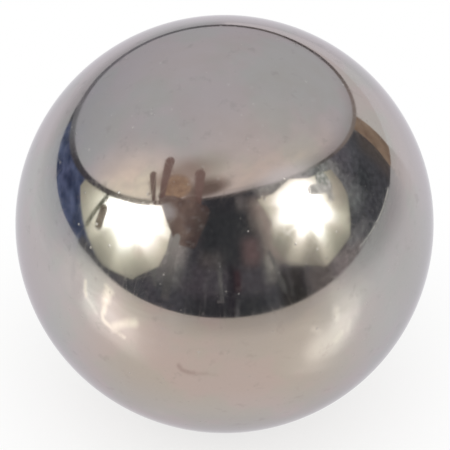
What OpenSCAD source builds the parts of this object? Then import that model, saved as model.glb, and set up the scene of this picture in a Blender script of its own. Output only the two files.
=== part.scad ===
// Polished steel ball, one solid piece, as made for bearings, mills and the workbench.
// It is ground and lapped to a true sphere, so it has no flat, seam, pole mark or hole.
// All lengths are in millimetres. The origin is the centre of the ball.

/* [Ball] */
// Diameter of the finished ball
ball_d = 25.4; // [3:0.1:100]

/* [Hidden] */

// Distance from the centre to the surface, the same in every direction
ball_r = ball_d / 2;
// Facets round the equator of the preview mesh, fine enough that its outline reads as round
ball_facets = 120;
// Bright steel with a faintly warm cast
steel = [0.66, 0.64, 0.62];

// The whole ball. A lapped ball keeps one radius all over to within a micrometre, which is
// far finer than any drawing shows, so the form is the exact sphere with nothing added.
module ball() {
    color(steel)
        sphere(r = ball_r, $fn = ball_facets);
}

ball();
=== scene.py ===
# %% [markdown]
# # A polished steel ball
# The object is one solid steel ball, an inch across, lapped until it mirrors everything around it.
# A ball like this has almost no look of its own: what the eye reads as steel is the room, bent
# round the sphere. So this lesson has two halves. The first makes a ball whose surface is true
# enough to mirror well, in a steel that carries the faint haze and dust of handling. The second
# builds the small studio that the ball mirrors: a pale table, a round reflector that leans over
# it, two umbrella lamps and the dim room behind them.

# %% Load the fixed frame
import math

import bpy
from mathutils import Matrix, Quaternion, Vector


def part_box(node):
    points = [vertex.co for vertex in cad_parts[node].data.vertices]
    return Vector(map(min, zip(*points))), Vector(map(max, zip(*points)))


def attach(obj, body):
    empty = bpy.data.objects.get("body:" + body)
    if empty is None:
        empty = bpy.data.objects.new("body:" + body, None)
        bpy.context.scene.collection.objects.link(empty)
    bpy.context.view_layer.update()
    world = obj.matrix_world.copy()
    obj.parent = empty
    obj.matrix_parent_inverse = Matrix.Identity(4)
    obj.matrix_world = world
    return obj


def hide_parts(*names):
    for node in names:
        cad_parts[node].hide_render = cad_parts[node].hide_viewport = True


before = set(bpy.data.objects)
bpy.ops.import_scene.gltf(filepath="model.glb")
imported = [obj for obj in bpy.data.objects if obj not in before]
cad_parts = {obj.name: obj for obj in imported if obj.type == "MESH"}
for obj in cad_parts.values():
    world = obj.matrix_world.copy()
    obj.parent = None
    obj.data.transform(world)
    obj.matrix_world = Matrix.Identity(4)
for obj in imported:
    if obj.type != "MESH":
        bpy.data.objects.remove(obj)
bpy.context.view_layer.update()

low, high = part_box("ball")
centre = (Vector(low) + Vector(high)) / 2
radius = (high[2] - low[2]) / 2
print(f"ball radius {radius * 1000:.2f} mm, centre {tuple(round(c, 5) for c in centre)}")

# %% [markdown]
# ## Three helpers for modelling
# Blender's operators act on everything that is selected, and loading the frame leaves its parts
# selected, so every new piece starts from an empty selection. A modifier only becomes part of a
# mesh once it is applied, so adding and applying one is a single step here. Faces are picked by a
# test on each one, where a hand would click them.

# %% Helpers for modelling
def clear_selection():
    """Leaves Blender in object mode with nothing selected."""
    if bpy.context.object and bpy.context.object.mode != "OBJECT":
        bpy.ops.object.mode_set(mode="OBJECT")
    bpy.ops.object.select_all(action="DESELECT")


def apply_modifier(piece, kind, **settings):
    """Adds a modifier with these settings and applies it at once, as its Apply button does."""
    modifier = piece.modifiers.new(kind.title(), kind)
    for name, value in settings.items():
        setattr(modifier, name, value)
    bpy.context.view_layer.objects.active = piece
    bpy.ops.object.modifier_apply(modifier=modifier.name)


def select_faces(piece, wanted):
    """Enters edit mode with only those faces selected for which wanted(face) is true."""
    bpy.context.view_layer.objects.active = piece
    bpy.ops.object.mode_set(mode="EDIT")
    bpy.ops.mesh.select_mode(type="FACE")
    bpy.ops.mesh.select_all(action="DESELECT")
    bpy.ops.object.mode_set(mode="OBJECT")
    for face in piece.data.polygons:
        face.select = wanted(face)
    bpy.ops.object.mode_set(mode="EDIT")


# %% [markdown]
# ## The ball's mesh
# On the real ball no place is different from any other: lapping wears away every high spot until
# one radius is left. Blender's own UV sphere isn't like that, because its faces crowd together at
# two poles, and a mirror finish shows that crowding as pinched reflections. A cube blown up into a
# sphere has faces of nearly one size everywhere. It is subdivided and rounded in edit mode, and
# Subdivision Surface adds the fineness. That modifier shrinks a shape a little, so Cast then
# pushes each corner back out to the true radius.

# %% Model the ball
COARSE_CUTS = 7
FINE_LEVELS = 3

clear_selection()
bpy.ops.mesh.primitive_cube_add(size=2 * radius, location=centre)
ball = bpy.context.object
ball.name = "polished_ball"
bpy.ops.object.mode_set(mode="EDIT")
bpy.ops.mesh.select_all(action="SELECT")
bpy.ops.mesh.subdivide(number_cuts=COARSE_CUTS)
bpy.ops.transform.tosphere(value=1.0)
bpy.ops.object.mode_set(mode="OBJECT")
apply_modifier(ball, "SUBSURF", levels=FINE_LEVELS, render_levels=FINE_LEVELS)
apply_modifier(ball, "CAST", cast_type="SPHERE", factor=1.0, use_radius_as_size=False, size=radius)
bpy.ops.object.transform_apply(location=True, rotation=True, scale=True)
bpy.ops.object.shade_smooth()

reach = [(v.co - centre).length * 1000 for v in ball.data.vertices]
print(f"ball: {len(ball.data.polygons)} faces, radius {min(reach):.4f} to {max(reach):.4f} mm")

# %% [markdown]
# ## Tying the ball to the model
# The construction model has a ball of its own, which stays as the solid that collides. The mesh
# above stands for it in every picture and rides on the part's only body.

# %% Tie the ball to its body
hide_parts("ball")
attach(ball, "root")

# %% [markdown]
# ## Helpers for shader nodes
# A material is a small machine of nodes. Built by hand, each node is added, set and wired; these
# helpers say the same in one line each. `put` adds a node and fills its inputs, with a number, a
# colour or the output of another node. `calc` is a sum, `vector_math` is the same for places,
# `remap` slides one range onto another and `mixed` fades between two colours.

# %% Helpers for shader nodes
def put(tree, kind, inputs=(), **settings):
    """Adds a shader node, changes its settings and fills or wires its inputs."""
    node = tree.nodes.new("ShaderNode" + kind)
    for name, value in settings.items():
        setattr(node, name, value)
    for name, value in dict(inputs).items():
        if isinstance(value, bpy.types.NodeSocket):
            tree.links.new(value, node.inputs[name])
        else:
            node.inputs[name].default_value = value
    return node


def calc(tree, operation, *values):
    """One step of arithmetic on numbers or sockets."""
    return put(tree, "Math", dict(enumerate(values)), operation=operation).outputs[0]


def vector_math(tree, operation, first, second, output="Vector"):
    """One step of arithmetic on places and directions."""
    return put(tree, "VectorMath", {0: first, 1: second}, operation=operation).outputs[output]


def remap(tree, value, from_low, from_high, to_low=0.0, to_high=1.0):
    """Slides one range of numbers onto another, smoothly, and stops at its ends."""
    inputs = {"Value": value, "From Min": from_low, "From Max": from_high,
              "To Min": to_low, "To Max": to_high}
    return put(tree, "MapRange", inputs, interpolation_type="SMOOTHSTEP").outputs[0]


MIX_FACTOR, MIX_A, MIX_B, MIX_RESULT = 0, 6, 7, 2


def mixed(tree, factor, first, second, blend_type="MIX"):
    """Fades from the first colour to the second."""
    inputs = {MIX_FACTOR: factor, MIX_A: first, MIX_B: second}
    return put(tree, "Mix", inputs, data_type="RGBA", blend_type=blend_type).outputs[MIX_RESULT]


def rgba(red, green, blue):
    """A colour as the four numbers that a colour socket holds."""
    return (red, green, blue, 1.0)


def start_group(name, inputs, outputs):
    """An empty node group with named sockets; gives the group, its entry and its exit."""
    group = bpy.data.node_groups.new(name, "ShaderNodeTree")
    for label, default in inputs.items():
        kind = "NodeSocketVector" if default is None else "NodeSocketFloat"
        socket = group.interface.new_socket(label, in_out="INPUT", socket_type=kind)
        if default is not None:
            socket.default_value = default
    for label in outputs:
        group.interface.new_socket(label, in_out="OUTPUT", socket_type="NodeSocketFloat")
    return group, group.nodes.new("NodeGroupInput"), group.nodes.new("NodeGroupOutput")


def use_group(tree, group, inputs):
    """Places a node group in a material, with this material's own values."""
    return put(tree, "Group", inputs, node_tree=group).outputs


def empty_material(name):
    """A material with nothing in it but its output; gives the material and its node tree."""
    material = bpy.data.materials.new(name)
    material.use_nodes = True
    material.node_tree.nodes.clear()
    return material, material.node_tree


def object_place(tree, unit):
    """The place on the piece itself, in this unit of length, so that a pattern sticks to it."""
    scale = (1 / unit, 1 / unit, 1 / unit)
    on_piece = put(tree, "TexCoord").outputs["Object"]
    return put(tree, "Mapping", {"Vector": on_piece, "Scale": scale}).outputs[0]


# %% [markdown]
# ## Soft patches
# Haze on steel, mottling on a cloth and tone in a dim wall are all the same thing at different
# sizes: soft blots with no edge. One node group makes them from noise. Its Low and High say which
# part of the noise counts as empty and which as full, so they set how much is covered.

# %% Group: soft patches
BLOT_DETAIL = 3.0
BLOT_ROUGHNESS = 0.55

sockets = {"Vector": None, "Scale": 1.0, "Low": 0.4, "High": 0.7}
patches, entry, ending = start_group("soft_patches", sockets, ["Mask"])
noise = put(patches, "TexNoise", {"Vector": entry.outputs["Vector"], "Scale": entry.outputs["Scale"],
                                  "Detail": BLOT_DETAIL, "Roughness": BLOT_ROUGHNESS})
blot = remap(patches, noise.outputs["Fac"], entry.outputs["Low"], entry.outputs["High"])
patches.links.new(blot, ending.inputs["Mask"])


def blots(tree, place, scale, low=0.3, high=0.7):
    """A mask of soft blots; low and high set how much of the surface they cover."""
    inputs = {"Vector": place, "Scale": scale, "Low": low, "High": high}
    return use_group(tree, patches, inputs)["Mask"]


print("group soft_patches:", len(patches.nodes), "nodes")

# %% [markdown]
# ## Specks
# Dust settles as single grains. A Voronoi texture scatters one point to a cell and gives each cell
# a random colour. A grain shows where the distance to the point is less than Size, and only in the
# cells whose random red is below Share, so the grains lie unevenly. The random green makes them
# differ in size.

# %% Group: specks
SMALLEST_GRAIN = 0.3

sockets = {"Vector": None, "Scale": 1.0, "Size": 0.1, "Share": 0.3}
specks, entry, ending = start_group("specks", sockets, ["Mask"])
cells = put(specks, "TexVoronoi", {"Vector": entry.outputs["Vector"], "Scale": entry.outputs["Scale"]})
chance = put(specks, "SeparateColor", {"Color": cells.outputs["Color"]})
grain = calc(specks, "ADD", chance.outputs["Green"], SMALLEST_GRAIN)
grain = calc(specks, "MULTIPLY", entry.outputs["Size"], grain)
inside = remap(specks, cells.outputs["Distance"], grain, 0.0)
chosen = calc(specks, "LESS_THAN", chance.outputs["Red"], entry.outputs["Share"])
specks.links.new(calc(specks, "MULTIPLY", inside, chosen), ending.inputs["Mask"])
print("group specks:", len(specks.nodes), "nodes")

# %% [markdown]
# ## Hairlines
# Even a careful wipe drags a grain of grit across a mirror finish and leaves a hairline. The
# lines run straight for a while and in every direction. A Voronoi texture squeezed along one axis
# has long thin cells, and the borders between them are such lines. Three of these, turned
# different ways, cross each other as real hairlines do.

# %% Group: hairlines
LINE_TURNS = ((0.3, 0.9, 0.2), (1.4, 0.2, 1.1), (0.7, 2.3, 1.9))
LINE_SQUEEZE = 0.04

sockets = {"Vector": None, "Scale": 1.0, "Width": 0.01}
hairlines, entry, ending = start_group("hairlines", sockets, ["Mask"])
scratched = 0.0
for turn in LINE_TURNS:
    turned = put(hairlines, "Mapping", {"Vector": entry.outputs["Vector"], "Rotation": turn,
                                        "Scale": (1.0, 1.0, LINE_SQUEEZE)}).outputs[0]
    borders = put(hairlines, "TexVoronoi", {"Vector": turned, "Scale": entry.outputs["Scale"]},
                  feature="DISTANCE_TO_EDGE")
    line = remap(hairlines, borders.outputs["Distance"], entry.outputs["Width"], 0.0)
    scratched = calc(hairlines, "MAXIMUM", scratched, line)
hairlines.links.new(scratched, ending.inputs["Mask"])
print("group hairlines:", len(hairlines.nodes), "nodes")

# %% [markdown]
# ## The polished steel
# Hardened bearing steel is a slightly warm grey that throws back about half of the light that
# falls on it. A metal has no colour but that of its mirror image, so Metallic is 1 and Base Color
# is how much red, green and blue it mirrors. Iron is unusual at a glancing angle: most metals turn
# white there, and iron hardly does, which Specular Tint holds down at the ball's edge.

# %% The steel's own numbers
STEEL_PINK = rgba(0.543, 0.502, 0.491)
STEEL_GREEN = rgba(0.514, 0.509, 0.483)
STEEL_FILMED = rgba(0.500, 0.483, 0.470)
STEEL_STAINED = rgba(0.440, 0.420, 0.405)
STEEL_EDGE_TINT = rgba(0.80, 0.78, 0.82)
POLISH = 0.06
MILLIMETRE = 0.001

steel, steel_tree = empty_material("polished_steel")
on_ball = object_place(steel_tree, MILLIMETRE)
metal = put(steel_tree, "BsdfPrincipled", {"Metallic": 1.0, "Specular Tint": STEEL_EDGE_TINT})
put(steel_tree, "OutputMaterial", {"Surface": metal.outputs[0]})

# %% [markdown]
# ## Haze, hairlines and dust on the steel
# A handled ball is not evenly bright. A thin film of oil leaves broad patches that lean a little
# towards pink or green and lays a faint veil over the darkest reflections; old finger marks leave
# small dull stains; hairlines catch a little light; dust sits on top as pale grains a tenth of a
# millimetre wide; and finer dust still is a faint bloom that only dark reflections show. Each mask
# changes colour, roughness or Metallic by a small amount, because a mirror shows every one of
# them. The grains alone have a height, of a few thousandths.

# %% Wear on the steel
FILM = {"scale": 0.13, "low": 0.45, "high": 0.72}
TINGE = {"scale": 0.22, "low": 0.42, "high": 0.58}
STAIN = {"scale": 1.1, "low": 0.60, "high": 0.74}
DUSTY_PART = {"scale": 0.25, "low": 0.38, "high": 0.62}
BLOOM = {"scale": 3.2, "low": 0.48, "high": 0.80}
LINES = {"Scale": 0.35, "Width": 0.012}
DUST = {"Scale": 1.6, "Size": 0.20, "Share": 0.70}
DUST_COLOUR = rgba(0.46, 0.455, 0.45)
DUST_COVER = 0.42
DUST_HEIGHT = 0.002 * MILLIMETRE
BLOOM_COVER = 0.06
ALWAYS_DUSTY = 0.3

film = blots(steel_tree, on_ball, **FILM)
tinge = blots(steel_tree, on_ball, **TINGE)
stain = blots(steel_tree, on_ball, **STAIN)
lines = use_group(steel_tree, hairlines, {"Vector": on_ball, **LINES})["Mask"]
grains = use_group(steel_tree, specks, {"Vector": on_ball, **DUST})["Mask"]
dusty = blots(steel_tree, on_ball, **DUSTY_PART)
dusty = calc(steel_tree, "MULTIPLY_ADD", dusty, 1 - ALWAYS_DUSTY, ALWAYS_DUSTY)
dust = calc(steel_tree, "MULTIPLY", grains, dusty)
bloom = calc(steel_tree, "MULTIPLY", blots(steel_tree, on_ball, **BLOOM), dusty)
cover = calc(steel_tree, "MULTIPLY", dust, DUST_COVER)
cover = calc(steel_tree, "MULTIPLY_ADD", bloom, BLOOM_COVER, cover)
print("wear masks ready:", len(steel_tree.nodes), "nodes")

# %% The steel put together
FILM_SHOWS = 0.5
STAIN_SHOWS = 0.5
FILM_VEIL = 0.03
ROUGHENED_BY = ((film, 0.05), (stain, 0.05), (lines, 0.05), (cover, 0.4))

colour = mixed(steel_tree, tinge, STEEL_PINK, STEEL_GREEN)
colour = mixed(steel_tree, calc(steel_tree, "MULTIPLY", film, FILM_SHOWS), colour, STEEL_FILMED)
colour = mixed(steel_tree, calc(steel_tree, "MULTIPLY", stain, STAIN_SHOWS), colour, STEEL_STAINED)
colour = mixed(steel_tree, cover, colour, DUST_COLOUR)
softer = POLISH
for mask, amount in ROUGHENED_BY:
    softer = calc(steel_tree, "MULTIPLY_ADD", mask, amount, softer)
veil = calc(steel_tree, "MULTIPLY_ADD", film, -FILM_VEIL, 1.0)
metallic = calc(steel_tree, "SUBTRACT", veil, cover)
bump = put(steel_tree, "Bump", {"Height": dust, "Distance": DUST_HEIGHT, "Strength": 1.0})

links = steel_tree.links
links.new(colour, metal.inputs["Base Color"])
links.new(softer, metal.inputs["Roughness"])
links.new(metallic, metal.inputs["Metallic"])
links.new(bump.outputs[0], metal.inputs["Normal"])
ball.data.materials.clear()
ball.data.materials.append(steel)
print("polished_steel:", len(steel_tree.nodes), "nodes")

# %% [markdown]
# ## Places in the studio
# The rest of the lesson is the studio. Nothing in it belongs to the ball, but all of it shows in
# the ball. Places are easier to think of as a compass bearing, a height above the table and a
# distance than as x, y and z. Bearing 0 points from the ball to the camera, positive bearings lie
# to the camera's right, and distances are in ball radii, so the studio grows with the ball.

# %% Helpers for places
def toward(bearing, height):
    """The unit vector at a bearing and a height above the table, both in degrees."""
    b, h = math.radians(bearing), math.radians(height)
    return Vector((math.sin(b) * math.cos(h), -math.cos(b) * math.cos(h), math.sin(h)))


def spot(bearing, height, distance):
    """A place in the studio, its distance from the ball given in ball radii."""
    return centre + toward(bearing, height) * distance * radius


# %% [markdown]
# ## A compass for patterns
# Several surfaces of the studio are shaded by where they lie as seen from the ball: the table has
# painted warm light towards the camera, and the room is darkest behind it. This group turns a place
# into its bearing and height in degrees and its distance along the table. It works on a piece whose
# own origin is the studio's. A second group says whether a number lies between two others, with
# soft ends, which is how a range of bearings is picked out.

# %% Group: compass
TO_DEGREES = math.degrees(1)

compass, entry, ending = start_group("compass", {"Vector": None}, ["Bearing", "Height", "Reach"])
axes = put(compass, "SeparateXYZ", {"Vector": entry.outputs["Vector"]})
x, y, z = axes.outputs
bearing = calc(compass, "ARCTAN2", x, calc(compass, "MULTIPLY", y, -1.0))
bearing = calc(compass, "MULTIPLY", bearing, TO_DEGREES)
reach_squared = calc(compass, "MULTIPLY_ADD", x, x, calc(compass, "MULTIPLY", y, y))
reach_out = calc(compass, "SQRT", reach_squared)
height_up = calc(compass, "MULTIPLY", calc(compass, "ARCTAN2", z, reach_out), TO_DEGREES)
compass.links.new(bearing, ending.inputs["Bearing"])
compass.links.new(height_up, ending.inputs["Height"])
compass.links.new(reach_out, ending.inputs["Reach"])

# %% Group: between
sockets = {"Value": 0.0, "Low": 0.0, "High": 1.0, "Soft": 0.1}
between, entry, ending = start_group("between", sockets, ["Mask"])
value, soft = entry.outputs["Value"], entry.outputs["Soft"]
minus_soft = calc(between, "MULTIPLY", soft, -1.0)
rise = remap(between, calc(between, "SUBTRACT", value, entry.outputs["Low"]), minus_soft, soft)
fall = remap(between, calc(between, "SUBTRACT", entry.outputs["High"], value), minus_soft, soft)
between.links.new(calc(between, "MULTIPLY", rise, fall), ending.inputs["Mask"])


def within(tree, value, low, high, soft):
    """1 where a value lies from low to high, fading to 0 over soft at either end."""
    inputs = {"Value": value, "Low": low, "High": high, "Soft": soft}
    return use_group(tree, between, inputs)["Mask"]


print("groups compass and between:", len(compass.nodes), "and", len(between.nodes), "nodes")

# %% [markdown]
# ## Strokes
# The painted glint on a crease in a sheet and the painted shade along an old fold are strokes: soft
# lines from one point to the next. The nearest point of a straight line is found with two dot
# products, and the stroke fades out over the distance Wide from it. A stroke's points and width are
# in degrees, as seen from the ball.

# %% Group: stroke
sockets = {"Vector": None, "Start": None, "End": None, "Wide": 1.0}
stroke, entry, ending = start_group("stroke", sockets, ["Mask"])
line = vector_math(stroke, "SUBTRACT", entry.outputs["End"], entry.outputs["Start"])
from_start = vector_math(stroke, "SUBTRACT", entry.outputs["Vector"], entry.outputs["Start"])
share = calc(stroke, "DIVIDE", vector_math(stroke, "DOT_PRODUCT", from_start, line, "Value"),
             vector_math(stroke, "DOT_PRODUCT", line, line, "Value"))
share = calc(stroke, "MINIMUM", calc(stroke, "MAXIMUM", share, 0.0), 1.0)
nearest = vector_math(stroke, "MULTIPLY", line, share)
off_line = vector_math(stroke, "DISTANCE", from_start, nearest, "Value")
stroke.links.new(remap(stroke, off_line, entry.outputs["Wide"], 0.0), ending.inputs["Mask"])


def draw_strokes(tree, place, strokes):
    """The strongest of several soft strokes; each is a run of points, a width and a strength."""
    total = 0.0
    for points, wide, strength in strokes:
        for start, stop in zip(points, points[1:]):
            ends = {"Start": (*start, 0.0), "End": (*stop, 0.0), "Wide": wide}
            mask = use_group(tree, stroke, {"Vector": place, **ends})["Mask"]
            total = calc(tree, "MAXIMUM", total, calc(tree, "MULTIPLY", mask, strength))
    return total


print("group stroke:", len(stroke.nodes), "nodes")

# %% [markdown]
# ## Air and lamps
# The world lights everything evenly, at a level where a colour renders about as it is written.
# Two large soft lamps at the umbrellas' places add a little warm light from the left and the
# right, which gives the ball its double soft shadow. They are hidden from mirrors, because the
# umbrellas modelled below are what the ball should show.

# %% World
AIR_LIGHT = 0.80
WHITE_SEEN = 1.0
PALE_MIRRORED = 0.90
AIR_COLOUR = rgba(1.0, 0.995, 0.99)

world = bpy.data.worlds.new("studio_air")
bpy.context.scene.world = world
world.use_nodes = True
air_tree = world.node_tree
air_tree.nodes.clear()
path = put(air_tree, "LightPath").outputs
in_gloss = calc(air_tree, "MAXIMUM", path["Is Glossy Ray"], path["Is Transmission Ray"])
brightness = calc(air_tree, "MULTIPLY_ADD", in_gloss, PALE_MIRRORED - AIR_LIGHT, AIR_LIGHT)
brightness = calc(air_tree, "MULTIPLY_ADD", path["Is Camera Ray"], WHITE_SEEN - AIR_LIGHT, brightness)
air = put(air_tree, "Background", {"Color": AIR_COLOUR, "Strength": brightness})
put(air_tree, "OutputWorld", {"Surface": air.outputs[0]})
print("studio_air:", len(air_tree.nodes), "nodes")

# %% Soft lamps
LEFT_LAMP = {"bearing": -66.5, "height": 27.5, "distance": 31.0}
RIGHT_LAMP = {"bearing": 56.3, "height": 29.3, "distance": 36.0}
CANOPY_RADIUS = 16.7 * radius
LAMP_LEVEL = 0.12
LAMP_COLOUR = (1.0, 0.95, 0.88)


def soft_lamp(name, place):
    """A warm round lamp that lights the table at LAMP_LEVEL from this place."""
    lamp = bpy.data.lights.new(name, "AREA")
    lamp.shape = "DISK"
    lamp.size = 2 * CANOPY_RADIUS
    metres = place["distance"] * radius
    lamp.energy = LAMP_LEVEL * math.pi ** 2 * metres ** 2 / math.sin(math.radians(place["height"]))
    lamp.color = LAMP_COLOUR
    holder = bpy.data.objects.new(name, lamp)
    bpy.context.collection.objects.link(holder)
    holder.location = spot(**place)
    holder.rotation_mode = "QUATERNION"
    holder.rotation_quaternion = (centre - holder.location).to_track_quat("-Z", "Y")
    holder.visible_camera = False
    holder.visible_glossy = False
    print(f"{name}: {lamp.energy:.3f} W")


soft_lamp("left_light", LEFT_LAMP)
soft_lamp("right_light", RIGHT_LAMP)

# %% [markdown]
# ## The table
# The ball stands on a pale satin sheet. Two things about it show in the steel. The sheet is
# slightly wavy, so it mirrors the lamps as broken warm streaks, and at a flat angle its gloss
# mirrors the dim room and darkens. The camera itself looks at the sheet from above and sees it
# plain, so the material is plain for the camera and satin in mirrors. Part of its brightness is
# its own, which keeps the ball's shadow light, as on a table lit from all round. In mirrors it has
# painted warm lamp light towards the camera and is painted a little brighter to the sides. The
# sheet has been folded once: to the left and the right of the ball its soft creases have painted
# glints of the lamps, and in front a faint brown line of painted shade runs along the old fold.
# Towards its front edge and its right end it has painted shade and lies a little darker.

# %% Table
TABLE_RADIUS = 118 * radius
TABLE_SIDES = 128
TABLE_WHITE = rgba(0.97, 0.97, 0.97)
TABLE_COLOUR = rgba(0.86, 0.865, 0.88)
TABLE_WARM_LIGHT = rgba(0.845, 0.735, 0.665)
TABLE_BLOTCH = rgba(0.80, 0.765, 0.765)
OWN_LIGHT_SEEN = 0.62
OWN_LIGHT_MIRRORED = 0.80
NEAR_LAMPS = 0.10

clear_selection()
bpy.ops.mesh.primitive_circle_add(vertices=TABLE_SIDES, radius=TABLE_RADIUS, fill_type="NGON",
                                  location=(0, 0, low[2]))
table = bpy.context.object
table.name = "table"
bpy.ops.object.transform_apply(location=True)
print(f"table: {2 * TABLE_RADIUS:.2f} m across, {-low[2] * 1000:.1f} mm under the ball's middle")

# %% Tone of the sheet
FRONT = {"low": -60.0, "high": 55.0, "soft": 25.0}
WARM_FROM, WARM_FULL = 0.3, 1.6
BLOTCH = {"scale": 0.45, "low": 0.35, "high": 0.70}
BLOTCH_SHOWS = 0.25
LAMPS_FROM, LAMPS_FULL = 85.0, 130.0

sheet, tree = empty_material("satin_sheet")
on_table = object_place(tree, radius)
where = use_group(tree, compass, {"Vector": on_table})
in_front = within(tree, where["Bearing"], **FRONT)
in_front = calc(tree, "MULTIPLY", in_front, remap(tree, where["Reach"], WARM_FROM, WARM_FULL))
# Painted warm lamp light: in mirrors the sheet turns warm towards the camera.
tone = mixed(tree, in_front, TABLE_COLOUR, TABLE_WARM_LIGHT)
blotch = blots(tree, on_table, **BLOTCH)
tone = mixed(tree, calc(tree, "MULTIPLY", blotch, BLOTCH_SHOWS), tone, TABLE_BLOTCH)
# Painted light: in mirrors the sheet is a tenth brighter to the sides, towards the lamps.
turned_aside = calc(tree, "ABSOLUTE", where["Bearing"])
beside = remap(tree, turned_aside, LAMPS_FROM, LAMPS_FULL, 1.0, 1.0 + NEAR_LAMPS)
print("satin_sheet tone:", len(tree.nodes), "nodes")

# %% [markdown]
# ## From the picture to the table
# A crease's painted glint is easiest to place where it is seen, in the picture of the ball. One ray
# then says where it lies: it leaves the camera, meets the ball, turns as a mirror turns it and lands
# on the table. The ray is followed for a ball of radius 1 at the origin, so the table lies at -1.
# Places in the picture are in pixels, across from its left side and down from its top.

# %% What the ball mirrors at a pixel
CAMERA_HEIGHT = 42.0
CAMERA_DISTANCE = 15.75
PICTURE_SIDE = 450
BALL_MIDDLE = (224.0, 223.5)
DEGREES_PER_PIXEL = 0.42

# The ball's radius where the strokes were counted, a tenth of a pixel more than the camera frames.
COUNTED_RADIUS = 209.3


def dot(first, second):
    """The dot product of two places, in full precision."""
    return sum(a * b for a, b in zip(first, second))


def mirrored_on_table(across, down):
    """The bearing and height of the spot on the table that the ball mirrors at this pixel."""
    edge_slope = math.tan(math.asin(1 / CAMERA_DISTANCE))
    right = (across - BALL_MIDDLE[0]) / COUNTED_RADIUS * edge_slope
    up = (BALL_MIDDLE[1] - down) / COUNTED_RADIUS * edge_slope
    rise = math.sin(math.radians(CAMERA_HEIGHT))
    run = math.cos(math.radians(CAMERA_HEIGHT))
    eye = (0.0, -run * CAMERA_DISTANCE, rise * CAMERA_DISTANCE)
    look = (right, up * rise + run, up * run - rise)
    look = [part / math.hypot(*look) for part in look]
    to_middle = -dot(look, eye)
    to_ball = to_middle - math.sqrt(to_middle ** 2 - CAMERA_DISTANCE ** 2 + 1)
    touched = [start + part * to_ball for start, part in zip(eye, look)]
    turned = 2 * dot(look, touched)
    bounced = [part - turned * place for part, place in zip(look, touched)]
    to_table = (-1 - touched[2]) / bounced[2]
    x, y, z = [place + part * to_table for place, part in zip(touched, bounced)]
    bearing = math.degrees(math.atan2(x, -y))
    height = math.degrees(math.atan2(z, math.hypot(x, y)))
    return round(bearing, 1), round(height, 1)


def laid_on_table(strokes):
    """Turns strokes counted in the picture into strokes in degrees on the table."""
    laid = []
    for points, wide, strength in strokes:
        ends = [mirrored_on_table(*point) for point in points]
        laid.append((ends, round(wide * DEGREES_PER_PIXEL, 1), strength))
    return laid


print("the ball mirrors at its middle the table's spot", mirrored_on_table(*BALL_MIDDLE))

# %% Painted glints on creases and painted shade along the fold
CREASE_BEND = 0.9
CREASE_DRIFT = {"Scale": 0.30, "Detail": 2.0}
CREASE_GLINT_RAMP = (0.1, 1.0, 0.0, 0.8)

# Painted lamp glints. Each stroke: its places in the picture, its width in pixels, and its strength.
CREASE_GLINTS = (
    (((84.5, 281), (84.5, 290), (86, 295)), 4, 0.85),
    (((87.5, 298), (91, 304), (96, 313)), 3.2, 0.42),
    (((105, 284.5), (112, 293)), 3.6, 1.00),
    (((107, 293), (105.5, 300)), 9.5, 1.30),
    (((105.5, 300), (103.5, 311)), 6, 1.15),
    (((101.5, 312), (102.5, 319), (111, 327.5)), 3.4, 1.00),
    (((111, 327.5), (118, 333), (124, 337)), 3.2, 0.72),
    (((113, 326.5), (120, 324), (127, 322.5), (134, 323)), 8, 0.90),
    (((94, 280), (108, 305), (127, 324)), 24, 0.22),
    (((336.5, 309), (337, 318)), 8, 0.50),
    (((341, 332), (335, 340)), 7.5, 0.62),
    (((349, 320), (347, 329)), 6.5, 0.45),
    (((313, 329), (320, 332)), 5, 0.30),
    (((356, 298), (355, 312)), 9, 0.34),
    (((349, 303), (343, 325), (331, 341), (316, 350)), 20, 0.36),
)
# Painted shade along the old fold, in strokes of the same kind.
FOLD_SHADE_LINE = (
    (((178, 365), (181, 369), (187, 372)), 3.6, 0.55),
    (((187, 372), (194, 373)), 3.6, 0.50),
    (((194, 373), (207, 373.5)), 3.2, 0.28),
    (((207, 373.5), (217, 375)), 2.6, 0.15),
)
FOLD_SHADE_BROWN = rgba(0.52, 0.40, 0.36)
LAMP_CREAM = rgba(0.87, 0.81, 0.69)

angles = put(tree, "CombineXYZ", {"X": where["Bearing"], "Y": where["Height"]}).outputs[0]
drift = put(tree, "TexNoise", {"Vector": angles, **CREASE_DRIFT}).outputs["Color"]
drift = vector_math(tree, "SUBTRACT", drift, (0.5, 0.5, 0.5))
drift = vector_math(tree, "MULTIPLY", drift, (CREASE_BEND,) * 3)
angles = vector_math(tree, "ADD", angles, drift)
# Painted glints of the lamps on the creases, and painted shade along the old fold.
crease_glint = draw_strokes(tree, angles, laid_on_table(CREASE_GLINTS))
fold_shaded = draw_strokes(tree, angles, laid_on_table(FOLD_SHADE_LINE))
tone = mixed(tree, fold_shaded, tone, FOLD_SHADE_BROWN)
tone = mixed(tree, remap(tree, crease_glint, *CREASE_GLINT_RAMP), tone, LAMP_CREAM)
print("creases and stain:", len(tree.nodes), "nodes")

# %% Gloss of the sheet
WAVES = {"Scale": 0.55, "Detail": 1.0, "Roughness": 0.5, "Distortion": 1.2}
WAVE_DEPTH = 0.035
SHEET_ROUGH = 0.9
SATIN = {"Coat Weight": 0.75, "Coat Roughness": 0.20}
BLACK = rgba(0.0, 0.0, 0.0)

path = put(tree, "LightPath").outputs
waves = put(tree, "TexNoise", {"Vector": on_table, **WAVES}).outputs["Fac"]
ripple = put(tree, "Bump", {"Height": waves, "Distance": WAVE_DEPTH * radius, "Strength": 1.0})


def lit_sheet(colour, own, level, **coat):
    """The sheet with this share of its brightness given off by itself and the rest lit."""
    inputs = {"Base Color": mixed(tree, own, colour, BLACK), "Roughness": SHEET_ROUGH,
              "Specular IOR Level": 0.0, "Emission Color": colour,
              "Emission Strength": calc(tree, "MULTIPLY", own, level)}
    inputs.update(coat)
    return put(tree, "BsdfPrincipled", inputs)


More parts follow.
